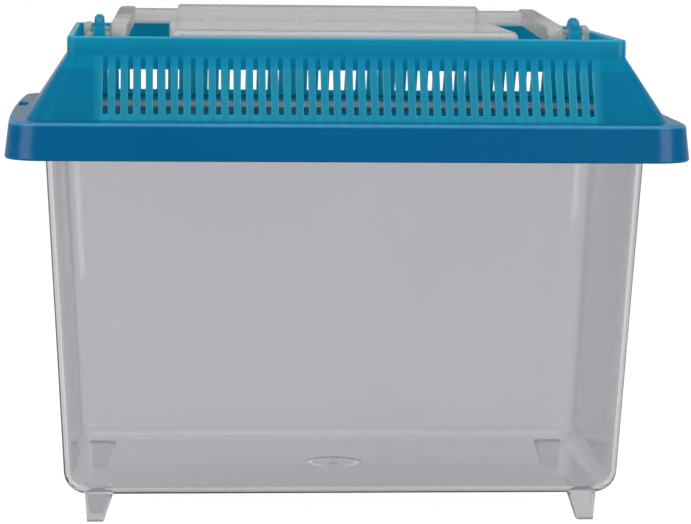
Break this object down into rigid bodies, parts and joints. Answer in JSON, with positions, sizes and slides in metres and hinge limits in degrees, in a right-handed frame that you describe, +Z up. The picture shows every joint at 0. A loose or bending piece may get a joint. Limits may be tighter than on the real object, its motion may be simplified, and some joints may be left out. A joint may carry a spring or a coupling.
{
  "type": "pet keeper",
  "caption": "Small rectangular clear plastic pet keeper: tapered tub on stub feet, slotted blue lid with a raised clear feeding door, folding carry handle.",
  "frame": {"origin": "on the floor under the middle of the tub, in the plane of the feet", "axes": "+X along the long side (to the right seen from the front), -Y towards the front, +Z up"},
  "size_m": [0.2278, 0.1518, 0.1712],
  "materials": {
    "tank_clear": "clear styrene, polished mould finish",
    "lid_blue": "translucent teal-blue moulded plastic, glossy",
    "hatch_clear": "clear styrene, polished mould finish",
    "handle_clear": "clear moulded plastic, glossy"
  },
  "bodies": {
    "tank": {"tank": "tank_clear"},
    "lid": {"lid": "lid_blue"},
    "hatch": {"hatch_door": "hatch_clear"},
    "handle": {"carry_handle": "handle_clear"}
  },
  "joints": [
    {"name": "lid_lift", "type": "slide", "parent": "tank", "child": "lid", "axis": [0, 0, 1], "range_m": [0, 0.06]},
    {"name": "hatch_hinge", "type": "hinge", "parent": "lid", "child": "hatch", "pos_m": [0, 0.0363, 0.1574], "axis": [-1, 0, 0], "range_deg": [0, 90]},
    {"name": "handle_hinge", "type": "hinge", "parent": "lid", "child": "handle", "pos_m": [0, 0, 0.1636], "axis": [1, 0, 0], "range_deg": [0, 171]}
  ]
}
